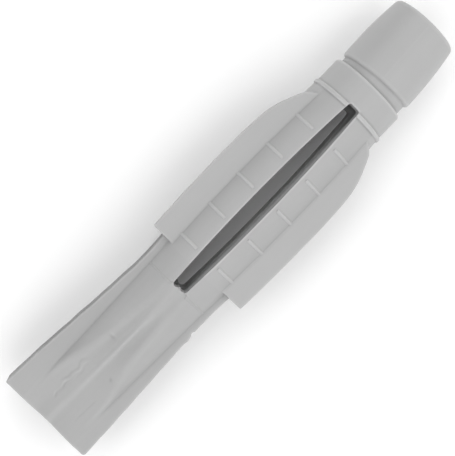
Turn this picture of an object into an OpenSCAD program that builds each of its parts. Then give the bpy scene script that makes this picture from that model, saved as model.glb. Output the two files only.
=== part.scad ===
// Moulded wall plug for an 8 mm hole: collar, neck, two spreading legs with twin wings,
// and a flared tail that parts along a thin ridge.
// The origin is the centre of the neck. +X runs along the plug to its mouth, +Z is one slotted
// face, and the wings stand out along Y. Stations are measured from the tip and shifted at the end.

/* [Whole plug] */
// Length from the tip to the mouth
plug_length = 50; // [49:0.5:52]
// Diameter of the legs and of the neck
body_d = 7.78; // [7.6:0.02:7.8]
// Diameter over the rib ring, a shade over the drilled hole so that it grips
ring_d = 8.1; // [8:0.05:8.4]
// Bore that takes the screw, in the collar and the neck
bore_d = 4.4; // [4:0.1:4.8]
// Narrow channel that the screw forces open, between the legs and down the tail
channel_d = 2.3; // [1.8:0.1:2.4]

/* [Collar and neck] */
// Length of the collar
collar_length = 7.1; // [6.5:0.05:8]
// Largest diameter of the collar
collar_d = 7.6; // [7.3:0.02:7.7]
// Diameter of the collar at its mouth
mouth_d = 6.76; // [6.4:0.02:7]
// Lean of the collar on its soft groove
collar_lean = 2.4; // [0:0.1:3]
// Width of the groove between the collar and the neck
groove_width = 0.6; // [0.4:0.05:0.8]
// Diameter at the bottom of the groove
groove_d = 7; // [6.7:0.05:7.1]
// Length of the neck
neck_length = 2.65; // [2.4:0.05:3.2]
// Width of the rib ring
ring_width = 0.4; // [0.3:0.05:0.6]

/* [Legs] */
// Length of the legs, from the wings' square end to the rib ring
leg_length = 19.65; // [18.5:0.05:20]
// How far each leg bows out at the middle of the slot
leg_bow = 0.33; // [0.2:0.01:0.4]
// Distance from the tip to the slot
slot_start = 17.2; // [16:0.05:17.5]
// How far the slot runs into the neck
slot_into_neck = 0.5; // [0.4:0.05:1]
// Width of the slot at its two ends
slot_end_width = 1.29; // [1.2:0.01:1.5]
// Number of cross ribs on each face of a leg
rib_count = 5; // [3:1:5]
// Distance between cross ribs
rib_pitch = 3.73; // [3:0.01:3.8]
// Width of a cross rib
rib_width = 0.4; // [0.3:0.05:0.5]
// Height of a cross rib above its leg
rib_height = 0.1; // [0.06:0.01:0.15]

/* [Wings] */
// Distance from the axis to a wing's edge, before its leg bows
wing_reach = 5.36; // [5.2:0.01:5.6]
// How much shorter the wings of the back face are
wing_back_short = 0.25; // [0:0.05:0.3]
// Distance from the middle plane to the face of a wing
wing_face = 2.45; // [2.2:0.05:2.5]
// Thickness of a wing
wing_thickness = 1.3; // [1:0.1:1.5]

/* [Tail] */
// Distance from the axis to the left side wall, at the tip
left_wall_tip = 5.24; // [4.6:0.02:5.3]
// Distance from the axis to the left side wall, beside the wings
left_wall_root = 4.12; // [4.04:0.02:4.3]
// Distance from the axis to the right side wall, at the tip
right_wall_tip = 4.62; // [4.4:0.02:5.2]
// Distance from the axis to the right side wall, beside the wings
right_wall_root = 4.04; // [4:0.02:4.3]
// Distance from the middle plane to the face of a side wall
wall_face = 1.9; // [1.8:0.05:2.1]
// Diameter of the tail's round core at the tip
core_tip_d = 7.1; // [6.9:0.05:7.3]
// Height of the valleys beside the ridge at the tip
valley_floor = 1.38; // [1.3:0.01:1.5]
// Rise of the valleys along the tail
valley_rise = 6.3; // [6:0.1:6.6]
// Rise of the valleys away from the ridge
valley_tilt = 31.8; // [30:0.2:33]
// Height of the ridge at the tip
ridge_tip = 1.8; // [1.7:0.05:2.5]
// Height of the ridge at the slot
ridge_top = 3.66; // [3.5:0.01:3.7]
// Half the width of the ridge along the tail
ridge_half = 0.35; // [0.3:0.01:0.4]

/* [Hidden] */

$fn = 96;
big = 60;
grey = "#b4b4b4";
pale = "#bdbdbd";
shade = "#a6a6a6";

body_r = body_d / 2;
bore_r = bore_d / 2;
channel_r = channel_d / 2;
collar_foot = plug_length - collar_length;
neck_top = collar_foot - groove_width;
ring_top = neck_top - neck_length;
leg_top = ring_top - ring_width;
leg_foot = leg_top - leg_length;
neck_centre = (ring_top + neck_top) / 2;

slot_end = leg_top + slot_into_neck;
slot_middle = (slot_start + slot_end) / 2;
slot_reach = (slot_end - slot_start) / 2;
slot_half = slot_end_width / 2;
// Radius of the gentle arc that the legs bow along
bow_r = (slot_reach * slot_reach + leg_bow * leg_bow) / (2 * leg_bow);
bow_angle = 12;

throat_length = 3;
lip = 0.22;
mouth_round = 0.5;
mouth_lead = 0.2;
mouth_bore_r = bore_r + 0.4;
first_rib = leg_foot + 1.25;
rib_from = 1.15;

// How far a leg stands out from straight
function bow(s) = leg_bow * max(0, 1 - pow((s - slot_middle) / slot_reach, 2));

// A wing's outer edge bows with its leg, and past its bend it turns softly into a straight slope
wing_bend = leg_foot + 15.3;
wing_slope = 0.44;
wing_bend_width = 1.6;
wing_corner = leg_foot + 18.3;
wing_end = leg_foot + 19.2;
wing_end_edge = 2.85;
function wing_edge(s) = wing_reach + bow(s) - wing_slope / 2
    * ((s - wing_bend) + sqrt(pow(s - wing_bend, 2) + pow(wing_bend_width, 2)));

// Flare of a side wall, level at the tip and again at the slot
function flare(t) = t * t * (3 - 2 * t);
function wall_edge(s, tip, root) = root + (tip - root) * flare(1 - s / slot_start);

wall_from = 2;
arch_end_rise = 26.5;
arch_end_height = -0.45;
arch_end_floor = 1.75;
ridge_flare_at = 12;
ridge_spread = 0.06;
ridge_slope = atan((ridge_top - ridge_tip) / slot_start);

// Moves a shape drawn from the tip so that the origin is the centre of the neck
module from_tip() translate([-neck_centre, 0, 0]) children();

// A rod along X from station a to station b
module rod(r, a, b, r_end = 0)
    translate([a, 0, 0]) rotate([0, 90, 0])
        cylinder(h = b - a, r1 = r, r2 = r_end > 0 ? r_end : r);

// A block from station a to station b, on one side of the middle plane of the slot
module side_block(a, b) translate([a, 0, -big / 2]) cube([b - a, big, big]);

// Turns a profile of [station, radius] points about the plug's axis
module turned() rotate([0, 90, 0]) rotate_extrude() rotate([0, 0, 90]) mirror([0, 1]) children();

// The lens-shaped slot, right through the plug
module slot_cut()
    linear_extrude(height = big, center = true) intersection() {
        translate([slot_middle, bow_r - leg_bow - slot_half]) circle(r = bow_r, $fn = 256);
        translate([slot_middle, leg_bow + slot_half - bow_r]) circle(r = bow_r, $fn = 256);
        translate([slot_start, -big / 2]) square([slot_end - slot_start, big]);
    }

// A leg's section swept along its bow; the section is drawn as [distance from the axis, height]
module bowed()
    translate([slot_middle, leg_bow - bow_r, 0]) rotate([0, 0, 90 - bow_angle / 2])
        rotate_extrude(angle = bow_angle, $fn = 256) translate([bow_r, 0]) children();

module half_disc(r, from)
    intersection() {
        circle(r = r);
        translate([from, -big / 2]) square([big, big]);
    }

// Points of a quarter round between the end face at x and the outer face at r, for a turned
// profile. The end face looks along way, and the points run from angle first to angle last.
function quarter(x, r, radius, way, first = 0, last = 90) =
    [for (i = [0 : 6]) let (a = first + (last - first) * i / 6)
        [x - way * radius * (1 - cos(a)), r - radius + radius * sin(a)]];

// Everything on the +Y side is drawn once and mirrored for the -Y side
module right_side() mirror([0, 1, 0]) children();
module back_side() mirror([0, 0, 1]) children();

module neck_sleeve() color(grey) from_tip() difference() {
    turned() polygon(concat(
        [[ring_top, bore_r], [neck_top, bore_r]],
        quarter(neck_top, body_r, lip, 1),
        [[ring_top, body_r]]
    ));
    slot_cut();
}

module groove_web() color(shade) from_tip() difference() {
    rod(groove_d / 2, neck_top, collar_foot);
    rod(bore_r, neck_top - 1, collar_foot + 1);
}

module rib_ring() color(pale) from_tip() difference() {
    rod(ring_d / 2, leg_top, ring_top);
    rod(bore_r, leg_top - 1, ring_top + 1);
    slot_cut();
}

// Radius of the collar's gently barrelled side, from 0 at its foot to 1 at its mouth
function collar_edge(t) = (collar_d - (collar_d - mouth_d) * pow(max(0, t - 0.2) / 0.8, 2)) / 2;

// The collar leans about the groove's edge on the +Y side, so a thin wedge opens on the other side
module collar() color(grey) from_tip()
    translate([collar_foot, groove_d / 2, 0]) rotate([0, 0, collar_lean])
    translate([-collar_foot, -groove_d / 2, 0])
        turned() polygon(concat(
            [[collar_foot, bore_r], [collar_foot, groove_d / 2]],
            quarter(collar_foot, collar_d / 2, lip, -1),
            [for (t = [0.25 : 0.15 : 0.85]) [collar_foot + t * collar_length, collar_edge(t)]],
            quarter(plug_length, collar_edge(1), mouth_round, 1, 90, 0),
            [[plug_length, mouth_bore_r + mouth_lead], [plug_length - mouth_lead, mouth_bore_r]]
        ));

// The full round bowed body of a leg, used to shape the pieces that sit on it
module leg_round() bowed() circle(r = body_r);

module leg() from_tip() difference() {
    intersection() {
        bowed() half_disc(body_r, slot_half);
        side_block(leg_foot, leg_top);
    }
    rod(channel_r, leg_foot - 1, leg_top + 1);
    rod(channel_r, leg_top - throat_length, leg_top, bore_r);
}
module left_leg() color(grey) leg();
module right_leg() color(grey) right_side() leg();

// Cross ribs on both faces of a leg, between the slot and the wings
module leg_ribs() from_tip() intersection() {
    bowed() difference() {
        half_disc(body_r + rib_height, slot_half + rib_from);
        circle(r = body_r);
        translate([0, -wing_face]) square([big, 2 * wing_face]);
    }
    union() for (i = [0 : rib_count - 1])
        side_block(first_rib + i * rib_pitch - rib_width / 2, first_rib + i * rib_pitch + rib_width / 2);
}
module left_leg_ribs() color(pale) leg_ribs();
module right_leg_ribs() color(pale) right_side() leg_ribs();

// A wing's flat outline; its inner part is cut away by the leg that it grows from
module wing_outline(short)
    polygon(concat(
        [[leg_foot, 0.5]],
        [for (i = [0 : 16]) let (s = leg_foot + (wing_corner - leg_foot) * i / 16)
            [s, wing_edge(s) - short]],
        [[wing_end, wing_end_edge], [wing_end, 0.5]]
    ));

module wing(short = 0) from_tip() difference() {
    translate([0, 0, wing_face - wing_thickness]) linear_extrude(height = wing_thickness)
        wing_outline(short);
    leg_round();
}
module left_front_wing() color(pale) wing();
module left_back_wing() color(pale) back_side() wing(wing_back_short);
module right_front_wing() color(pale) right_side() wing();
module right_back_wing() color(pale) right_side() back_side() wing(wing_back_short);

// The tail's round core, a cone that widens slightly towards the legs, and runs on past both ends
module tail_core() {
    spare = 1;
    slope = (body_r + leg_bow / 4 - core_tip_d / 2) / leg_foot;
    rod(core_tip_d / 2 - slope * spare, -spare, leg_foot + spare,
        core_tip_d / 2 + slope * (leg_foot + spare));
}

// Half of a ridge's outline: narrow along the tail, widening to a little more than the slot. With
// some spare it runs past the tip and the middle plane, to cut with.
module ridge_outline(spare = 0)
    polygon([[-spare, -spare], [slot_start, -spare], [slot_start, slot_half + ridge_spread],
        [ridge_flare_at, ridge_half], [-spare, ridge_half]]);

module ridge() from_tip() difference() {
    intersection() {
        linear_extrude(height = big) ridge_outline();
        translate([0, 0, ridge_tip]) rotate([0, -ridge_slope, 0])
            translate([-1, -1, -big]) cube([big, big, big]);
    }
    rod(channel_r, -1, slot_start + 1);
}
module left_ridges() color(pale) { ridge(); back_side() ridge(); }
module right_ridges() color(pale) right_side() { ridge(); back_side() ridge(); }

// One quarter of the round core, hollowed by the channel and dished by a sloping valley that
// leaves a pointed arch of the round surface on each side
module web() from_tip() difference() {
    intersection() {
        tail_core();
        cube([leg_foot, big, big]);
    }
    rod(channel_r, -1, leg_foot + 1);
    linear_extrude(height = big, center = true) ridge_outline(1);
    slot_cut();
    translate([0, 0, valley_floor]) rotate([0, -valley_rise, 0]) rotate([valley_tilt, 0, 0])
        translate([-5, -5, 0]) cube([big, big, big]);
    intersection() {
        translate([0, 0, arch_end_height]) rotate([0, -arch_end_rise, 0])
            translate([-5, 0, 0]) cube([big, big, big]);
        translate([-1, 0, arch_end_floor]) cube([big, big, big]);
    }
}
module left_front_web() color(shade) web();
module left_back_web() color(shade) back_side() web();
module right_front_web() color(shade) right_side() web();
module right_back_web() color(shade) right_side() back_side() web();

// The full-depth side wall of a tail half, flaring towards the tip
module side_wall(tip, root) from_tip() difference() {
    linear_extrude(height = 2 * wall_face, center = true) polygon(concat(
        [[0, wall_from]],
        [for (i = [0 : 8]) let (s = i * slot_start / 8) [s, wall_edge(s, tip, root)]],
        [[leg_foot, root], [leg_foot, wall_from]]
    ));
    tail_core();
}
module left_side_wall() color(pale) side_wall(left_wall_tip, left_wall_root);
module right_side_wall() color(pale) right_side() side_wall(right_wall_tip, right_wall_root);

neck_sleeve();
groove_web();
rib_ring();
collar();
left_leg();
left_leg_ribs();
left_front_wing();
left_back_wing();
right_leg();
right_leg_ribs();
right_front_wing();
right_back_wing();
left_front_web();
left_back_web();
left_side_wall();
left_ridges();
right_front_web();
right_back_web();
right_side_wall();
right_ridges();
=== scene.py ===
import math

import bmesh
import bpy
import numpy as np
from mathutils import Matrix, Vector

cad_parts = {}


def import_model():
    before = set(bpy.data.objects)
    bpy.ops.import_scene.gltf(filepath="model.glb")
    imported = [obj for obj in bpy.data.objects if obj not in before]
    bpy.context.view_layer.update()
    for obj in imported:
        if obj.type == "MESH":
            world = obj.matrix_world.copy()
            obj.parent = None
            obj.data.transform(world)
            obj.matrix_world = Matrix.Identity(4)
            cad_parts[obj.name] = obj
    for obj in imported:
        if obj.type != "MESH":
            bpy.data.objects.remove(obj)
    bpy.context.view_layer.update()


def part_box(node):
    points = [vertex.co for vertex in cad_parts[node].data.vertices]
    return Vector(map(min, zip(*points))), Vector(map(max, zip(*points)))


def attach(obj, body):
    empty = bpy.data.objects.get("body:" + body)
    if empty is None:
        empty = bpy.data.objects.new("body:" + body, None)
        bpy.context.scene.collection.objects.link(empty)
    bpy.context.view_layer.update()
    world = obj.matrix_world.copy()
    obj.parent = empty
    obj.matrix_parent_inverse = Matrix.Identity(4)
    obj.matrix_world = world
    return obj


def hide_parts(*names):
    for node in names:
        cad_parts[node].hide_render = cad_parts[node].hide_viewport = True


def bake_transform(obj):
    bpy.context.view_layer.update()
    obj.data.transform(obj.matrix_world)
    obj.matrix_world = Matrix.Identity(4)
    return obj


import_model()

# The plug is shaped in millimetres, by stations counted from its tip, and with its legs straight.
# It is one skin, cut into the members that the frame's bodies carry, and bent to shape at the end.
MM = 0.001


def low(node):
    return [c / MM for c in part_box(node)[0]]


def high(node):
    return [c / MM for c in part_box(node)[1]]


TIP = low("left_side_wall")[0]
LEG_FOOT = low("left_leg")[0] - TIP
LEG_TOP = high("left_leg")[0] - TIP
RING_TOP = high("rib_ring")[0] - TIP
NECK_TOP = low("groove_web")[0] - TIP
COLLAR_FOOT = high("groove_web")[0] - TIP
SLOT_START = high("left_ridges")[0] - TIP
SLOT_END = LEG_TOP + 0.5
MOUTH = 50.0
TAIL_CUT = LEG_FOOT - 0.15
# How far the legs and the tail halves bend over, beyond where they start
LEG_BEND = 3.0
TAIL_BEND = 2.5

BODY_R = high("neck_sleeve")[2]
RING_R = high("rib_ring")[1]
GROOVE_R = high("groove_web")[2]
COLLAR_R = high("collar")[2]
MOUTH_R = COLLAR_R - 0.42
BORE_R = 2.2
MOUTH_BORE_R = 2.6
CHANNEL_R = 1.15
THROAT = 3.0
COLLAR_LEAN = math.radians(2.4)

SLOT_HALF_TIP = 0.72
SLOT_HALF_NECK = 0.58
LEG_BOW = 0.33

WING_REACH = high("left_front_wing")[1] - LEG_BOW + 0.04
WING_BACK_SHORT = high("left_front_wing")[1] - high("left_back_wing")[1]
WING_FACE = high("left_front_wing")[2]
WING_THICKNESS = WING_FACE - low("left_front_wing")[2]
WING_BEND = LEG_FOOT + 15.3
WING_SLOPE = 0.44
WING_BEND_WIDTH = 1.6
WING_CORNER = LEG_FOOT + 18.3

WALL_FACE = high("left_side_wall")[2]
LEFT_WALL = (high("left_side_wall")[1], 4.12)
RIGHT_WALL = (-low("right_side_wall")[1], 3.98)
CORE_TIP_R = 3.55
RIDGE_HALF = 0.35
RIDGE_TIP = 1.8
RIDGE_TOP = high("left_ridges")[2]

RIB_COUNT = 5
RIB_PITCH = 3.73
FIRST_RIB = LEG_FOOT + 1.25
# How far from the middle plane the cross ribs stop
RIB_END = 1.14

VOXEL = 0.085
EDGE = 0.12


# ---------------------------------------------------------------- shaping
def soft_min(a, b, k):
    """The smaller of two fields, with a fillet about k wide where they meet."""
    h = np.clip(0.5 + 0.5 * (b - a) / k, 0, 1)
    return b + (a - b) * h - k * h * (1 - h)


def soft_max(a, b, k):
    return -soft_min(-a, -b, k)


def rod(s, r, a, b, radius, edge=EDGE):
    """A round rod from station a to b, with rounded ends."""
    along = np.abs(s - (a + b) / 2) - (b - a) / 2 + edge
    out = r - radius + edge
    inside = np.minimum(np.maximum(along, out), 0)
    return inside + np.hypot(np.maximum(along, 0), np.maximum(out, 0)) - edge


def bump(v, middle, width):
    return np.exp(-((v - middle) / width) ** 2)


def smooth(t):
    t = np.clip(t, 0, 1)
    return t * t * (3 - 2 * t)


def collar_radius(s):
    t = (s - COLLAR_FOOT) / (MOUTH - COLLAR_FOOT)
    return COLLAR_R - (COLLAR_R - MOUTH_R) * (np.clip(t - 0.2, 0, 1) / 0.8) ** 2


def core_radius(s):
    return CORE_TIP_R + (BODY_R - CORE_TIP_R) * np.clip(s / SLOT_START, 0, 1)


def wing_edge(s, z):
    past = s - WING_BEND
    edge = WING_REACH - WING_SLOPE / 2 * (past + np.sqrt(past ** 2 + WING_BEND_WIDTH ** 2))
    return edge - WING_BACK_SHORT * (z < 0)


def wall_edge(s, y):
    """The side walls' outline, with its slight waviness and the torn flash on the right one."""
    t = np.clip(1 - s / SLOT_START, 0, 1)
    flare = 0.5 * smooth(t) + 0.5 * t
    left = LEFT_WALL[1] + (LEFT_WALL[0] - LEFT_WALL[1]) * flare
    right = RIGHT_WALL[1] + (RIGHT_WALL[0] - RIGHT_WALL[1]) * flare
    left = left + 0.02 * np.sin(1.9 * s) * np.sin(0.5 * s) - 0.02
    flash = 0.07 * bump(s, 14.2, 0.35) - 0.14 * bump(s, 14.95, 0.22)
    right = right + flash + 0.012 * np.sin(2.3 * s) - 0.02
    return np.where(y > 0, left, right)


def ridge_half(s):
    t = np.clip((s - 11.0) / (SLOT_START - 11.0), 0, 1)
    return RIDGE_HALF + (SLOT_HALF_TIP - RIDGE_HALF) * t ** 1.6


def tail_field(s, y, side, face):
    """The tail: a cone dished by a valley on each side of a soft ridge, between two side walls."""
    core = np.hypot(side, face) - core_radius(s)
    floor = 1.38 + 0.11 * s
    ridge_rise = RIDGE_TIP + (RIDGE_TOP - RIDGE_TIP) * s / SLOT_START - floor
    slope = 0.624 * np.sqrt(side ** 2 + 0.04)
    valley = (face - (floor + slope + ridge_rise * bump(side, 0, ridge_half(s)))) * 0.8
    arch_end = (face - soft_max(1.5 + 0.13 * side, 0.55 + 0.35 * s, 0.9)) * 0.95
    core = soft_max(core, soft_max(valley, arch_end, 0.9), 0.32)
    wall = soft_max(side - wall_edge(s, y), face - WALL_FACE, 0.16)
    wall = soft_max(wall, 2.7 + 0.02 * s - side, 0.5)
    tail = soft_min(core, wall, 0.12)
    return soft_max(tail, s - LEG_FOOT - 0.5, 0.05)


def leg_field(s, z, side, face):
    body = np.maximum(np.hypot(side, face) - BODY_R, np.maximum(SLOT_START - s, s - NECK_TOP + 1))
    wing = soft_max(side - wing_edge(s, z), np.abs(face - WING_FACE + WING_THICKNESS / 2)
                    - WING_THICKNESS / 2, EDGE)
    wing = soft_max(wing, LEG_FOOT - s, EDGE)
    corner = ((s - WING_CORNER) * 0.81 + (side - wing_edge(WING_CORNER, 1)) * 0.59)
    wing = soft_max(wing, corner, 0.2)
    wing = np.maximum(wing, 2.0 - side)
    return soft_min(body, wing, 0.1)


def slot_field(s, y, face):
    """The slot, with the torn skin of flash at the end that meets the ridge."""
    cusp = 0.17 * bump(y, 0, 0.13) - 0.09 * y
    start = SLOT_START - 0.05 + cusp + 0.03 * np.sin(9 * y + 2 * face)
    along = soft_max(start - s, s - SLOT_END, 0.05)
    half = SLOT_HALF_TIP + (SLOT_HALF_NECK - SLOT_HALF_TIP) * (s - SLOT_START) / (SLOT_END - SLOT_START)
    return soft_max(np.abs(y) - half, along, 0.25)


def plug_field(s, y, z):
    """Below zero inside the plastic."""
    side, face = np.abs(y), np.abs(z)
    r = np.hypot(y, z)
    solid = tail_field(s, y, side, face)
    slanted_tip = 0.01 * (y + 4.6)
    solid = soft_max(solid, slanted_tip - s, EDGE + 0.25 * smooth(-y - 3))
    solid = np.minimum(solid, leg_field(s, z, side, face))
    ring = rod(s, r, LEG_TOP, RING_TOP, RING_R, 0.14)
    sleeve = rod(s, r, RING_TOP - 3, NECK_TOP, BODY_R, 0.22)
    web = rod(s, r, NECK_TOP - 1, COLLAR_FOOT + 1, GROOVE_R - 0.03 * np.sin(2 * y + z), 0.05)
    skew = GROOVE_R - y
    collar = rod(s, r - collar_radius(s) + COLLAR_R, COLLAR_FOOT + 0.02 * skew,
                 MOUTH + 0.1 - 0.03 * skew, COLLAR_R, 0.36)
    neck = soft_min(soft_min(sleeve, ring, 0.12), soft_min(web, collar, 0.1), 0.1)
    solid = np.minimum(solid, neck)
    solid = soft_max(solid, -slot_field(s, y, face), 0.1)
    throat = BORE_R + (CHANNEL_R - BORE_R) * np.clip((LEG_TOP - s) / THROAT, 0, 1)
    mouth = (MOUTH_BORE_R - BORE_R) * np.clip((s - COLLAR_FOOT) / (MOUTH - COLLAR_FOOT), 0, 1)
    return soft_max(solid, throat + mouth - r, EDGE)


def edge_at(s, y, z, d=0.13):
    """How sharply the skin turns: towards 1 on an outer edge, towards -1 in a crease."""
    total = -6 * plug_field(s, y, z)
    for step in ((d, 0, 0), (-d, 0, 0), (0, d, 0), (0, -d, 0), (0, 0, d), (0, 0, -d)):
        total = total + plug_field(s + step[0], y + step[1], z + step[2])
    return np.clip(total / d ** 2 / 5, -1, 1)


def side_painted_shade_at(s, y, z):
    """1 on the outer side of the tail's left wall, which is darkened with painted shade."""
    out = smooth((np.abs(y) - wall_edge(s, y) + 0.22) / 0.16)
    return out * smooth((WALL_FACE - 0.02 - np.abs(z)) / 0.2) * smooth((LEG_FOOT - s) / 0.3) * (y > 0)


def slot_painted_light_and_shade_at(s, y, z):
    """1 deep on the slot's walls, lifted with painted light that stands in for light through the plastic,
    and below 0 near their rims, where painted shade darkens them.
    """
    off = slot_field(s, y, np.abs(z))
    deep = BODY_R - 0.35 - np.abs(z)
    # Painted light lifts the deep walls, and painted shade darkens them near the rims
    inside = smooth((0.5 - np.abs(off)) / 0.4) * smooth(deep / 0.3)
    rim = smooth((0.07 - off) / 0.07) * smooth(1 - deep / 0.9)
    return (inside - 0.5 * rim) * smooth((s - SLOT_START) / 0.3 + 1)


def marks_and_painted_light_at(s, y, z):
    """Where the front is marked: above 0 is paler and proud, below 0 is darker and sunk. Besides scuffs and
    the parting line, it carries a painted highlight along the ridge's crest and painted shade in the left
    valley.
    """
    wander = 1.27 + 0.1 * np.sin(2.3 * s + 1.2 * np.sin(0.9 * s)) + 0.06 * np.sin(5.1 * s + 1)
    span = smooth((s - 1.9) / 0.6) * smooth((6.6 - s) / 0.8) * (0.55 + 0.25 * np.sin(3.7 * s))
    mark = span * (bump(y, wander, 0.1) - 0.8 * bump(y, wander - 0.2, 0.12))
    span = smooth((s - 3.4) / 0.5) * smooth((7.2 - s) / 0.9)
    mark = mark + 0.6 * span * (bump(y, wander - 0.45 + 0.05 * s, 0.07) - bump(y, wander + 0.3, 0.1))
    mark = mark - 1.1 * bump(s, 9.85, 0.12) * bump(y, 1.2, 0.28)
    mark = mark + 0.6 * bump(s, 10.1, 0.1) * bump(y, 1.35, 0.3)
    mark = mark - 1.1 * bump(s - 0.5 * (y + 1.4), 6.9, 0.14) * bump(y, -1.42, 0.16)
    mark = mark - 0.5 * bump(y, -1.75 - 0.02 * s, 0.07) * smooth((s - 1.5) / 1) * smooth((5 - s) / 1)
    line = bump(y, 0.0, 0.07) * smooth((s - COLLAR_FOOT - 0.3) / 0.2)
    # A painted highlight along the top of the ridge
    crest_highlight = bump(y, 0.04 * np.sin(1.3 * s), ridge_half(s) * 0.8) * smooth((SLOT_START + 0.3 - s) / 0.5)
    # Painted shade in the left valley of the tail
    valley_shade = bump(y, 1.05, 0.55) * smooth((SLOT_START - s) / 3)
    return np.clip((mark + 0.35 * line + 0.28 * crest_highlight - 0.3 * valley_shade) * (z > 0), -1, 1)


def slope_of(s, y, z, d=0.01):
    return np.stack([plug_field(s + d, y, z) - plug_field(s - d, y, z),
                     plug_field(s, y + d, z) - plug_field(s, y - d, z),
                     plug_field(s, y, z + d) - plug_field(s, y, z - d)], axis=-1) / (2 * d)


def skin_of(corner, top):
    """The surface where plug_field is zero, as points and four-sided faces."""
    n = [int(math.ceil((b - a) / VOXEL)) + 1 for a, b in zip(corner, top)]
    axes = [np.float32(a) + np.float32(VOXEL) * np.arange(m, dtype=np.float32)
            for a, m in zip(corner, n)]
    f = plug_field(axes[0][:, None, None], axes[1][None, :, None], axes[2][None, None, :])
    inside = f < 0
    count = np.zeros([m - 1 for m in n], np.int8)
    steps = [(i, j, k) for i in (0, 1) for j in (0, 1) for k in (0, 1)]
    for i, j, k in steps:
        count += inside[i:n[0] - 1 + i, j:n[1] - 1 + j, k:n[2] - 1 + k]
    cells = np.argwhere((count > 0) & (count < 8))
    number = np.full(count.shape, -1, np.int32)
    number[tuple(cells.T)] = np.arange(len(cells))
    total = np.zeros((len(cells), 3))
    crossings = np.zeros(len(cells))
    for axis in range(3):
        for corner_step in steps:
            if corner_step[axis]:
                continue
            a = cells + np.array(corner_step)
            b = a.copy()
            b[:, axis] += 1
            fa, fb = f[tuple(a.T)], f[tuple(b.T)]
            cross = (fa < 0) != (fb < 0)
            t = np.where(cross, fa / np.where(cross, fa - fb, 1), 0)
            p = a.astype(float)
            p[:, axis] += t
            total += np.where(cross[:, None], p, 0)
            crossings += cross
    points = total / crossings[:, None] * VOXEL + np.array(corner)
    faces = []
    for axis in range(3):
        u, v = (axis + 1) % 3, (axis + 2) % 3
        start = [slice(None)] * 3
        end = [slice(None)] * 3
        start[axis], end[axis] = slice(0, -1), slice(1, None)
        a, b = inside[tuple(start)], inside[tuple(end)]
        for rising in (True, False):
            edges = np.argwhere((a & ~b) if rising else (~a & b))
            keep = (edges[:, u] > 0) & (edges[:, v] > 0)
            edges = edges[keep]
            ring = []
            for du, dv in ((1, 1), (0, 1), (0, 0), (1, 0)):
                c = edges.copy()
                c[:, u] -= du
                c[:, v] -= dv
                ring.append(number[tuple(c.T)])
            quad = np.stack(ring, axis=1)
            faces.append(quad if rising else quad[:, ::-1])
    for _ in range(3):
        g = slope_of(*points.T)
        value = plug_field(*points.T)
        step = -(value / np.maximum((g ** 2).sum(1), 0.04))[:, None] * g
        points += np.clip(step, -VOXEL / 2, VOXEL / 2)
    return points, np.concatenate(faces)


# ---------------------------------------------------------------- members
def bow_at(s):
    middle, reach = (SLOT_START + SLOT_END) / 2, (SLOT_END - SLOT_START) / 2
    return LEG_BOW * np.clip(1 - ((s - middle) / reach) ** 2, 0, 1)


def bent(points):
    """Bows the legs apart and leans the collar, then moves the points into the frame, in metres."""
    s, y, z = points.T.copy()
    y = y + np.clip(y / 0.5, -1, 1) * bow_at(s)
    turn = COLLAR_LEAN * np.clip((s - NECK_TOP) / (COLLAR_FOOT - NECK_TOP), 0, 1)
    ds, dy = s - COLLAR_FOOT, y - GROOVE_R
    s = COLLAR_FOOT + ds * np.cos(turn) - dy * np.sin(turn)
    y = GROOVE_R + ds * np.sin(turn) + dy * np.cos(turn)
    return np.stack([s + TIP, y, z], axis=1) * MM


def bent_normals(points):
    """The skin's own normals, carried through the same bends."""
    s, y, _ = points.T
    n = slope_of(*points.T)
    n[:, 0] -= np.clip(y / 0.5, -1, 1) * (bow_at(s + 0.01) - bow_at(s - 0.01)) / 0.02 * n[:, 1]
    turn = COLLAR_LEAN * np.clip((s - NECK_TOP) / (COLLAR_FOOT - NECK_TOP), 0, 1)
    n[:, :2] = np.stack([n[:, 0] * np.cos(turn) - n[:, 1] * np.sin(turn),
                         n[:, 0] * np.sin(turn) + n[:, 1] * np.cos(turn)], axis=1)
    return n / np.maximum(np.linalg.norm(n, axis=1), 1e-9)[:, None]


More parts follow.
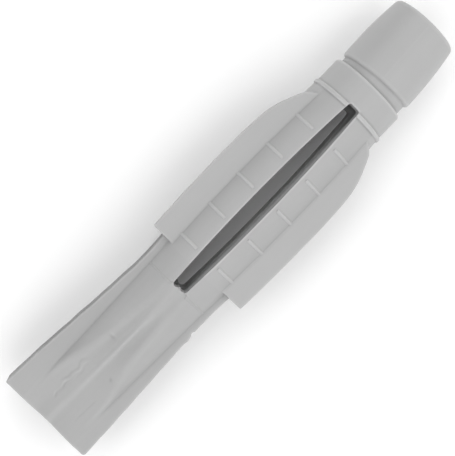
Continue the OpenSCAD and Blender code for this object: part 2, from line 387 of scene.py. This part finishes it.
def cut_piece(name, points, faces, planes):
    """The part of the skin behind every plane, with its cut faces closed. A plane is (point, normal)."""
    keep = np.ones(len(points), bool)
    for co, no in planes:
        keep &= (points - np.array(co)) @ np.array(no) < 3 * VOXEL
    chosen = faces[keep[faces].all(axis=1)]
    used, flat = np.unique(chosen, return_inverse=True)
    mesh = bpy.data.meshes.new(name)
    mesh.from_pydata(points[used].tolist(), [], flat.reshape(-1, 4).tolist())
    bm = bmesh.new()
    bm.from_mesh(mesh)
    for co, no in planes:
        bmesh.ops.bisect_plane(bm, geom=bm.verts[:] + bm.edges[:] + bm.faces[:], dist=1e-5,
                               plane_co=co, plane_no=no, clear_outer=True)
        rim = [e for e in bm.edges if e.is_boundary
               and all(abs((v.co - Vector(co)).dot(Vector(no))) < 1e-3 for v in e.verts)]
        if rim:
            made = bmesh.ops.triangle_fill(bm, edges=rim, use_beauty=True, use_dissolve=False)
            for face in made["geom"]:
                if isinstance(face, bmesh.types.BMFace):
                    face.smooth = False
                    if face.normal.dot(Vector(no)) < 0:
                        face.normal_flip()
                    face.material_index = 1
    bmesh.ops.remove_doubles(bm, verts=bm.verts[:], dist=1e-5)
    bm.to_mesh(mesh)
    bm.free()
    co = np.empty(len(mesh.vertices) * 3)
    mesh.vertices.foreach_get("co", co)
    co = co.reshape(-1, 3)
    for mark, field in (("edge", edge_at), ("marks_and_painted_light", marks_and_painted_light_at), ("slot_wall", slot_painted_light_and_shade_at),
                        ("side_painted_shade", side_painted_shade_at)):
        layer = mesh.attributes.new(mark, "FLOAT", "POINT")
        layer.data.foreach_set("value", field(*co.T).astype(np.float32))
    mesh.vertices.foreach_set("co", bent(co).ravel())
    cut = np.empty(len(mesh.polygons), np.int32)
    mesh.polygons.foreach_get("material_index", cut)
    mesh.polygons.foreach_set("use_smooth", cut == 0)
    mesh.polygons.foreach_set("material_index", np.zeros(len(mesh.polygons), np.int32))
    mesh.update()
    sides = np.empty(len(mesh.polygons), np.int32)
    mesh.polygons.foreach_get("loop_total", sides)
    corners = np.empty(len(mesh.loops), np.int32)
    mesh.loops.foreach_get("vertex_index", corners)
    flat_normals = np.empty(len(mesh.polygons) * 3)
    mesh.polygons.foreach_get("normal", flat_normals)
    on_cut = np.repeat(cut == 1, sides)[:, None]
    flat_normals = np.repeat(flat_normals.reshape(-1, 3), sides, axis=0)
    normals = np.where(on_cut, flat_normals, bent_normals(co)[corners])
    mesh.normals_split_custom_set(normals.tolist())
    piece = bpy.data.objects.new(name, mesh)
    bpy.context.scene.collection.objects.link(piece)
    return piece


def before(s):
    return ((s, 0, 0), (1, 0, 0))


def after(s):
    return ((s, 0, 0), (-1, 0, 0))


def mirrored(planes, side, face):
    return [((co[0], co[1] * side, co[2] * face), (no[0], no[1] * side, no[2] * face))
            for co, no in planes]


# A wing is cut from its leg along the flat between the two corners of its root
WING_BACK = WING_FACE - WING_THICKNESS
ROOT_FRONT = Vector((0, math.sqrt(BODY_R ** 2 - WING_FACE ** 2), WING_FACE))
ROOT_BACK = Vector((0, math.sqrt(BODY_R ** 2 - WING_BACK ** 2), WING_BACK))
ROOT_OUT = Vector((1, 0, 0)).cross(ROOT_BACK - ROOT_FRONT).normalized()
if ROOT_OUT.y < 0:
    ROOT_OUT.negate()
BEHIND_ROOT = (tuple(ROOT_FRONT), tuple(ROOT_OUT))
BEYOND_ROOT = (tuple(ROOT_FRONT), tuple(-ROOT_OUT))
LEFT = ((0, 0, 0), (0, -1, 0))
FRONT = ((0, 0, 0), (0, 0, -1))
# A side wall is cut from the webs along its crease
CREASE_TIP = math.sqrt(CORE_TIP_R ** 2 - WALL_FACE ** 2)
CREASE_ROOT = math.sqrt(BODY_R ** 2 - WALL_FACE ** 2)
CREASE_OUT = Vector((CREASE_TIP - CREASE_ROOT, SLOT_START, 0)).normalized()
INSIDE_CREASE = ((0, CREASE_TIP, 0), tuple(CREASE_OUT))
OUTSIDE_CREASE = ((0, CREASE_TIP, 0), tuple(-CREASE_OUT))
BESIDE_RIDGE = ((0, 0.45, 0), (0, -1, 0))
ON_RIDGE = ((0, 0.45, 0), (0, 1, 0))


def build_members():
    """The plug's members as plain meshes, each with the bodies that carry it and where it bends."""
    margin = 4 * VOXEL
    reach = max(WING_REACH, LEFT_WALL[0]) + margin
    points, faces = skin_of((-margin, -reach, -RING_R - margin), (MOUTH + margin, reach, RING_R + margin))
    print("skin", len(points), "points", len(faces), "faces")
    made = []

    def member(node, slot, bodies, planes, bend=None):
        made.append((node, slot, cut_piece(node + "_moulding", points, faces, planes), bodies, bend))

    member("collar", "collar", ["collar"], [after(COLLAR_FOOT)])
    member("groove_web", "neck", ["socket", "collar"], [after(NECK_TOP), before(COLLAR_FOOT)],
           (NECK_TOP, COLLAR_FOOT))
    member("neck_sleeve", "neck", ["socket"], [after(RING_TOP), before(NECK_TOP)])
    member("rib_ring", "neck", ["socket"], [after(LEG_TOP), before(RING_TOP)])
    for half, side in (("left", 1), ("right", -1)):
        carried = ["socket", half + "_leg"]
        bend = (LEG_TOP, LEG_TOP - LEG_BEND)
        span = [after(TAIL_CUT), before(LEG_TOP), LEFT]
        member(half + "_leg", "leg", carried,
               mirrored(span + [BEHIND_ROOT], side, 1) + mirrored([BEHIND_ROOT], side, -1), bend)
        for name, face in (("_front_wing", 1), ("_back_wing", -1)):
            member(half + name, "wing", carried, mirrored(span + [BEYOND_ROOT, FRONT], side, face), bend)
        carried = [half + "_leg", half + "_tail"]
        bend = (TAIL_CUT, TAIL_CUT - TAIL_BEND)
        span = [before(TAIL_CUT), LEFT]
        member(half + "_side_wall", "tail", carried, mirrored(span + [OUTSIDE_CREASE], side, 1), bend)
        for name, face in (("_front_web", 1), ("_back_web", -1)):
            member(half + name, "tail", carried,
                   mirrored(span + [INSIDE_CREASE, BESIDE_RIDGE, FRONT], side, face), bend)
        member(half + "_ridges", "tail", carried, mirrored(span + [ON_RIDGE], side, 1), bend)
    return made


# ---------------------------------------------------------------- cross ribs
def rib_tree():
    """Round cross ribs on both faces of a half of the plug, set out along it and following its bow."""
    tree = bpy.data.node_groups.new("cross_ribs", "GeometryNodeTree")
    sockets = tree.interface
    for name, kind in (("Geometry", "Geometry"), ("Count", "Int"), ("First", "Float"), ("Pitch", "Float"),
                       ("Radius", "Float"), ("Start", "Float"), ("Sweep", "Float"), ("Half Width", "Float"),
                       ("Middle", "Float"), ("Reach", "Float"), ("Bow", "Float"), ("Turn", "Float"),
                       ("Material", "Material")):
        sockets.new_socket(name=name, in_out="INPUT", socket_type="NodeSocket" + kind)
    sockets.new_socket(name="Geometry", in_out="OUTPUT", socket_type="NodeSocketGeometry")
    nodes, links = tree.nodes, tree.links
    given = nodes.new("NodeGroupInput").outputs

    def node(kind, operation=None, **inputs):
        made = nodes.new(kind)
        if operation:
            made.operation = operation
        for key, value in inputs.items():
            socket = made.inputs[int(key[1:])] if key[0] == "_" else made.inputs[key.replace("_", " ")]
            if isinstance(value, bpy.types.NodeSocket):
                links.new(value, socket)
            else:
                socket.default_value = value
        return made

    def math_of(operation, a, b):
        return node("ShaderNodeMath", operation, _0=a, _1=b).outputs[0]

    round_bar = node("GeometryNodeCurvePrimitiveCircle", Resolution=16, Radius=given["Half Width"])
    bars = nodes.new("GeometryNodeJoinGeometry")
    back_start = math_of("SUBTRACT", math_of("MULTIPLY", given["Start"], -1.0), given["Sweep"])
    for start in (given["Start"], back_start):
        arc = node("GeometryNodeCurveArc", Resolution=18, Radius=given["Radius"], Start_Angle=start,
                   Sweep_Angle=given["Sweep"])
        bar = nodes.new("GeometryNodeCurveToMesh")
        links.new(arc.outputs[0], bar.inputs["Curve"])
        links.new(round_bar.outputs[0], bar.inputs["Profile Curve"])
        bar.inputs["Fill Caps"].default_value = True
        links.new(bar.outputs[0], bars.inputs[0])
    upright = node("GeometryNodeTransform", Geometry=bars.outputs[0],
                   Rotation=(math.radians(90), 0, math.radians(90)))
    start = nodes.new("ShaderNodeCombineXYZ")
    links.new(given["First"], start.inputs[0])
    step = nodes.new("ShaderNodeCombineXYZ")
    links.new(given["Pitch"], step.inputs[0])
    row = nodes.new("GeometryNodeMeshLine")
    row.mode = "OFFSET"
    links.new(given["Count"], row.inputs["Count"])
    links.new(start.outputs[0], row.inputs["Start Location"])
    links.new(step.outputs[0], row.inputs["Offset"])
    place = nodes.new("ShaderNodeSeparateXYZ")
    links.new(nodes.new("GeometryNodeInputPosition").outputs[0], place.inputs[0])
    off = math_of("DIVIDE", math_of("SUBTRACT", place.outputs[0], given["Middle"]), given["Reach"])
    share = math_of("SUBTRACT", 1.0, math_of("MULTIPLY", off, off))
    outward = nodes.new("ShaderNodeCombineXYZ")
    links.new(math_of("MULTIPLY", share, given["Bow"]), outward.inputs[1])
    bowed = node("GeometryNodeSetPosition", Geometry=row.outputs[0], Offset=outward.outputs[0])
    set_out = node("GeometryNodeInstanceOnPoints", Points=bowed.outputs[0], Instance=upright.outputs[0])
    spin = nodes.new("ShaderNodeCombineXYZ")
    links.new(given["Turn"], spin.inputs[0])
    real = nodes.new("GeometryNodeRealizeInstances")
    links.new(set_out.outputs[0], real.inputs[0])
    turned = node("GeometryNodeTransform", Geometry=real.outputs[0], Rotation=spin.outputs[0])
    even = nodes.new("GeometryNodeSetShadeSmooth")
    links.new(turned.outputs[0], even.inputs["Geometry"])
    finish = node("GeometryNodeSetMaterial", Geometry=even.outputs[0], Material=given["Material"])
    links.new(finish.outputs[0], nodes.new("NodeGroupOutput").inputs[0])
    return tree


def ribs(name, tree, **values):
    """A plain mesh of ribs for one body."""
    host = bpy.data.objects.new(name + "_setting_out", bpy.data.meshes.new(name + "_setting_out"))
    bpy.context.scene.collection.objects.link(host)
    modifier = host.modifiers.new("ribs", "NODES")
    modifier.node_group = tree
    for item in tree.interface.items_tree:
        if item.in_out == "INPUT" and item.name.replace(" ", "_") in values:
            modifier[item.identifier] = values[item.name.replace(" ", "_")]
    evaluated = host.evaluated_get(bpy.context.evaluated_depsgraph_get())
    mesh = bpy.data.meshes.new_from_object(evaluated)
    mesh.name = name
    host.modifiers.remove(modifier)
    bpy.data.objects.remove(host)
    piece = bpy.data.objects.new(name, mesh)
    bpy.context.scene.collection.objects.link(piece)
    return piece


def build_ribs(leg_finish, tail_finish):
    tree = rib_tree()
    root = math.asin(WING_FACE / BODY_R)
    crease = math.asin(WALL_FACE / BODY_R) + 0.03
    inner = math.acos(RIB_END / BODY_R)
    middle = ((SLOT_START + SLOT_END) / 2 + TIP) * MM
    reach = (SLOT_END - SLOT_START) / 2 * MM
    made = []
    for half, turn in (("left", 0.0), ("right", math.pi)):
        piece = ribs(half + "_leg_ribs_moulding", tree, Count=RIB_COUNT, First=(FIRST_RIB + TIP) * MM,
                     Pitch=RIB_PITCH * MM, Radius=(BODY_R - 0.08) * MM, Start=root - 0.02,
                     Sweep=inner - root + 0.02, Half_Width=0.19 * MM, Middle=middle, Reach=reach,
                     Bow=LEG_BOW * MM, Turn=turn, Material=leg_finish)
        made.append((half + "_leg_ribs", "rib", piece, [half + "_leg"], None))
        piece = ribs(half + "_slot_rib", tree, Count=1, First=(SLOT_START - 0.22 + TIP) * MM,
                     Pitch=1.0 * MM, Radius=(BODY_R - 0.13) * MM, Start=crease,
                     Sweep=inner - crease + 0.05, Half_Width=0.18 * MM, Middle=middle, Reach=reach,
                     Bow=0.0, Turn=turn, Material=tail_finish)
        made.append((None, "tail", piece, [half + "_leg", half + "_tail"],
                     (TAIL_CUT, TAIL_CUT - TAIL_BEND)))
    return made


# ---------------------------------------------------------------- finish
class Wiring:
    """Short ways to place and join shader nodes in one tree."""

    def __init__(self, tree):
        self.tree = tree

    def node(self, kind, **settings):
        made = self.tree.nodes.new(kind)
        for key, value in settings.items():
            setattr(made, key, value)
        return made

    def feed(self, socket, value):
        if isinstance(value, bpy.types.NodeSocket):
            self.tree.links.new(value, socket)
        else:
            socket.default_value = value

    def sum(self, operation, *values):
        made = self.node("ShaderNodeMath", operation=operation)
        for socket, value in zip(made.inputs, values):
            self.feed(socket, value)
        return made.outputs[0]

    def noise(self, where, stretch, scale, detail=3.0, rough=0.5):
        mapping = self.node("ShaderNodeMapping")
        self.feed(mapping.inputs["Vector"], where)
        mapping.inputs["Scale"].default_value = stretch
        made = self.node("ShaderNodeTexNoise")
        self.feed(made.inputs["Vector"], mapping.outputs[0])
        self.feed(made.inputs["Scale"], scale)
        made.inputs["Detail"].default_value = detail
        made.inputs["Roughness"].default_value = rough
        return made.outputs["Fac"]


def new_group(name, inputs, outputs):
    group = bpy.data.node_groups.new(name, "ShaderNodeTree")
    for label, value in inputs:
        socket = group.interface.new_socket(name=label, in_out="INPUT", socket_type="NodeSocketFloat")
        socket.default_value = value
    for label in outputs:
        group.interface.new_socket(name=label, in_out="OUTPUT", socket_type="NodeSocketFloat")
    wiring = Wiring(group)
    return group, wiring, wiring.node("NodeGroupInput").outputs, wiring.node("NodeGroupOutput").inputs


def edge_highlight_and_crease_shade_group():
    """Painted highlights on outer edges and painted shade in creases, from the skin's own turn."""
    group, w, given, out = new_group("edge_wear", (("Rub", 0.1), ("Dusk", 0.1)), ("Tone", "Polish"))
    turn = w.node("ShaderNodeAttribute", attribute_name="edge").outputs["Fac"]
    where = w.node("ShaderNodeTexCoord").outputs["Object"]
    patchy = w.noise(where, (1, 1, 1), 900.0, 4.0, 0.6)
    # Outer edges are lifted with a painted highlight, and creases darkened with painted shade
    rim = w.sum("MULTIPLY", w.sum("MAXIMUM", turn, 0.0), w.sum("ADD", patchy, 0.5))
    crease = w.sum("MAXIMUM", w.sum("MULTIPLY", turn, -1.0), 0.0)
    tone = w.sum("SUBTRACT", w.sum("MULTIPLY", rim, given["Rub"]),
                 w.sum("MULTIPLY", crease, given["Dusk"]))
    w.feed(out["Tone"], tone)
    w.feed(out["Polish"], rim)
    return group


def flow_group():
    """Clouding and long flow streaks left as the plastic filled its mould."""
    group, w, given, out = new_group("mould_flow", (("Cloud", 0.03), ("Streak", 0.03)),
                                     ("Tone", "Height"))
    where = w.node("ShaderNodeTexCoord").outputs["Object"]
    cloud = w.sum("SUBTRACT", w.noise(where, (1, 1, 1), 260.0, 4.0, 0.55), 0.5)
    streak = w.sum("SUBTRACT", w.noise(where, (0.09, 1, 0.6), 2300.0, 3.0, 0.5), 0.5)
    tone = w.sum("ADD", w.sum("MULTIPLY", cloud, given["Cloud"]),
                 w.sum("MULTIPLY", streak, given["Streak"]))
    w.feed(out["Tone"], tone)
    w.feed(out["Height"], w.sum("MULTIPLY", streak, given["Streak"]))
    return group


def marks_with_painted_light_group():
    """Scuffs, tool marks and the parting line, where the skin carries them, with a painted highlight on the
    ridge and painted shade in one valley.
    """
    group, w, given, out = new_group("marks_with_painted_light", (("Depth", 0.08),), ("Tone", "Height"))
    mark = w.node("ShaderNodeAttribute", attribute_name="marks_and_painted_light").outputs["Fac"]
    where = w.node("ShaderNodeTexCoord").outputs["Object"]
    broken = w.sum("ADD", w.noise(where, (1, 1, 1), 1700.0, 3.0, 0.6), 0.4)
    w.feed(out["Tone"], w.sum("MULTIPLY", w.sum("MULTIPLY", mark, broken), given["Depth"]))
    w.feed(out["Height"], mark)
    return group


def painted_slot_and_side_shading_group():
    """Painted light on the slot's walls with painted shade near their rims, and painted shade on the outer
    side of the tail's left wall.
    """
    group, w, given, out = new_group("hidden_sides", (("Glow", 0.5), ("Side_Painted_Shade", 0.5)), ("Tone",))
    wall = w.node("ShaderNodeAttribute", attribute_name="slot_wall").outputs["Fac"]
    side_painted_shade = w.node("ShaderNodeAttribute", attribute_name="side_painted_shade").outputs["Fac"]
    where = w.node("ShaderNodeTexCoord").outputs["Object"]
    uneven = w.sum("ADD", w.noise(where, (0.3, 1, 1), 420.0, 3.0, 0.5), 0.5)
    # Painted light and shade on the slot walls, less painted shade on the tail's left side wall
    w.feed(out["Tone"], w.sum("SUBTRACT", w.sum("MULTIPLY", wall, given["Glow"]),
                              w.sum("MULTIPLY", w.sum("MULTIPLY", side_painted_shade, uneven), given["Side_Painted_Shade"])))
    return group


def grain_group():
    """The fine satin grain of the mould's surface."""
    group, w, given, out = new_group("satin_grain", (("Size", 5200.0),), ("Height", "Tone"))
    where = w.node("ShaderNodeTexCoord").outputs["Object"]
    grain = w.noise(where, (1, 1, 1), given["Size"], 2.0, 0.5)
    w.feed(out["Height"], grain)
    w.feed(out["Tone"], w.sum("SUBTRACT", grain, 0.5))
    return group


def moulded_plastic(name, shade, groups, rough=0.5, edge_highlight=0.1, crease_shade=0.1, cloud=0.05, streak=0.04,
                    marks_and_painted_light=0.08, grain=0.03, painted_slot_shading=0.0, relief=0.00001):
    """Light grey moulded plastic, with its own balance of painted edge highlight and crease shade, flow
    marks, scuffs, painted slot shading and grain.
    """
    mat = bpy.data.materials.new(name)
    mat.use_nodes = True
    w = Wiring(mat.node_tree)
    bsdf = mat.node_tree.nodes["Principled BSDF"]

    def place(key, **values):
        made = w.node("ShaderNodeGroup", node_tree=groups[key])
        for label, value in values.items():
            made.inputs[label].default_value = value
        return made.outputs

    # Painted highlights on edges and painted shade in creases
    edge_light_and_shade = place("edge_light_and_shade", Rub=edge_highlight, Dusk=crease_shade)
    flow = place("flow", Cloud=cloud, Streak=streak)
    # Scuffs and the parting line, with a painted highlight on the ridge and painted shade in one valley
    marks_with_painted_light = place("marks_with_painted_light", Depth=marks_and_painted_light)
    satin = place("grain")
    tone = w.sum("ADD", w.sum("ADD", edge_light_and_shade["Tone"], flow["Tone"]), marks_with_painted_light["Tone"])
    tone = w.sum("ADD", tone, w.sum("MULTIPLY", satin["Tone"], grain))
    # Painted light and shade on the slot walls, and painted shade on the tail's left side wall
    tone = w.sum("ADD", tone, place("sides", Glow=painted_slot_shading)["Tone"])
    value = w.sum("MULTIPLY", w.sum("ADD", tone, 1.0), shade)
    colour = w.node("ShaderNodeCombineColor")
    for channel in ("Red", "Green", "Blue"):
        w.feed(colour.inputs[channel], value)
    w.feed(bsdf.inputs["Base Color"], colour.outputs[0])
    gloss = w.sum("SUBTRACT", w.sum("MULTIPLY_ADD", satin["Tone"], 0.2, rough),
                  w.sum("MULTIPLY", edge_light_and_shade["Polish"], 0.12))
    w.feed(bsdf.inputs["Roughness"], gloss)
    bsdf.inputs["Specular IOR Level"].default_value = 0.4
    bsdf.inputs["Subsurface Weight"].default_value = 0.0
    lift = w.sum("ADD", w.sum("MULTIPLY", satin["Height"], 0.35), w.sum("MULTIPLY", marks_with_painted_light["Height"], 1.2))
    lift = w.sum("MULTIPLY_ADD", flow["Height"], 8.0, lift)
    relief_node = w.node("ShaderNodeBump")
    relief_node.inputs["Strength"].default_value = 1.0
    relief_node.inputs["Distance"].default_value = relief
    w.feed(relief_node.inputs["Height"], lift)
    w.feed(bsdf.inputs["Normal"], relief_node.outputs["Normal"])
    return mat


def build_finishes():
    groups = {"edge_light_and_shade": edge_highlight_and_crease_shade_group(), "flow": flow_group(), "marks_with_painted_light": marks_with_painted_light_group(),
              "grain": grain_group(), "sides": painted_slot_and_side_shading_group()}
    return {
        # Each finish sets its own strength of painted edge highlight, painted crease shade and painted slot
        # shading
        "collar": moulded_plastic("smooth_collar", 0.39, groups, rough=0.46, cloud=0.06, streak=0.02,
                                  marks_and_painted_light=0.12),
        "neck": moulded_plastic("ribbed_neck", 0.392, groups, crease_shade=0.16, cloud=0.06, edge_highlight=0.2, painted_slot_shading=0.45),
        "leg": moulded_plastic("leg_satin", 0.383, groups, edge_highlight=0.2, crease_shade=0.2, cloud=0.07, painted_slot_shading=0.45),
        # The ribs' base colour is paler than the legs' as a painted highlight on their crests
        "rib": moulded_plastic("rubbed_rib", 0.44, groups, cloud=0.02),
        "wing": moulded_plastic("wing_satin", 0.402, groups, cloud=0.05, streak=0.03, edge_highlight=0.08),
        "tail": moulded_plastic("flow_marked_tail", 0.376, groups, streak=0.05, cloud=0.09, marks_and_painted_light=0.2,
                                edge_highlight=0.09, crease_shade=0.12, painted_slot_shading=0.45, relief=0.00002),
    }


# ---------------------------------------------------------------- studio
LENS = 122
SENSOR = 36
CAMERA_DISTANCE = 0.1421
CAMERA_TILT = math.radians(5)
CAMERA_ROLL = math.radians(45.85)
CAMERA_TARGET = ((24.08 + TIP) * MM, 0.335 * MM, 0)
TENT_STRENGTH = 1.78


def look_from(direction, distance, target, roll):
    """A camera on that side of the target, turned so that the plug's axis rises to the right."""
    cam = bpy.data.cameras.new("camera")
    camera = bpy.data.objects.new("camera", cam)
    bpy.context.scene.collection.objects.link(camera)
    back = Vector(direction).normalized()
    along = (Vector((1, 0, 0)) - back * back.x).normalized()
    across = back.cross(along)
    right = along * math.cos(roll) - across * math.sin(roll)
    up = along * math.sin(roll) + across * math.cos(roll)
    spin = Matrix((right, up, back)).transposed().to_4x4()
    camera.matrix_world = Matrix.Translation(Vector(target) + back * distance) @ spin
    cam.lens = LENS
    cam.sensor_width = SENSOR
    cam.clip_start = 0.005
    cam.clip_end = 5
    bpy.context.scene.camera = camera


def build_floor():
    mesh = bpy.data.meshes.new("floor")
    size, low_z = 0.6, -RING_R * MM - 0.0001
    mesh.from_pydata([(-size, -size, low_z), (size, -size, low_z), (size, size, low_z),
                      (-size, size, low_z)], [], [(0, 1, 2, 3)])
    floor = bpy.data.objects.new("floor", mesh)
    bpy.context.scene.collection.objects.link(floor)
    paper = bpy.data.materials.new("pale_paper")
    paper.use_nodes = True
    bsdf = paper.node_tree.nodes["Principled BSDF"]
    bsdf.inputs["Base Color"].default_value = (0.97, 0.97, 0.97, 1)
    bsdf.inputs["Roughness"].default_value = 0.9
    bsdf.inputs["Specular IOR Level"].default_value = 0.1
    mesh.materials.append(paper)


def build_light_tent():
    """Bright on both sides, dim straight above, and dark low on the left."""
    world = bpy.data.worlds.new("light_tent")
    world.use_nodes = True
    w = Wiring(world.node_tree)
    split = w.node("ShaderNodeSeparateXYZ")
    w.feed(split.inputs["Vector"], w.node("ShaderNodeTexCoord").outputs["Generated"])
    ramp = w.node("ShaderNodeValToRGB")
    w.feed(ramp.inputs["Fac"], w.sum("MULTIPLY_ADD", split.outputs["Y"], 0.5, 0.5))
    panels = ((0.0, 0.5), (0.2, 0.78), (0.36, 0.97), (0.43, 0.32), (0.57, 0.32), (0.64, 1.0),
              (0.8, 0.87), (0.9, 0.45), (0.96, 0.0))
    ramp.color_ramp.interpolation = "EASE"
    while len(ramp.color_ramp.elements) < len(panels):
        ramp.color_ramp.elements.new(0.5)
    for stop, (place, light) in zip(ramp.color_ramp.elements, panels):
        stop.position = place
        stop.color = (light, light, light, 1)
    background = world.node_tree.nodes["Background"]
    w.feed(background.inputs["Color"], ramp.outputs["Color"])
    background.inputs["Strength"].default_value = TENT_STRENGTH
    bpy.context.scene.world = world
    bpy.context.scene.view_settings.view_transform = "Standard"


def carry(node, slot, piece, bodies, bend):
    """Hands a finished piece to the body that carries it; a piece with a bend is left free, with its place
    baked into its mesh.
    """
    if node:
        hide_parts(node)
    if bend:
        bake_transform(piece)
    else:
        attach(piece, bodies[0])


finishes = build_finishes()
members = build_members()
for node, slot, piece, bodies, bend in members:
    piece.data.materials.append(finishes[slot])
for made in members + build_ribs(finishes["rib"], finishes["tail"]):
    carry(*made)
build_floor()
build_light_tent()
look_from((0, math.sin(CAMERA_TILT), math.cos(CAMERA_TILT)), CAMERA_DISTANCE, CAMERA_TARGET, CAMERA_ROLL)
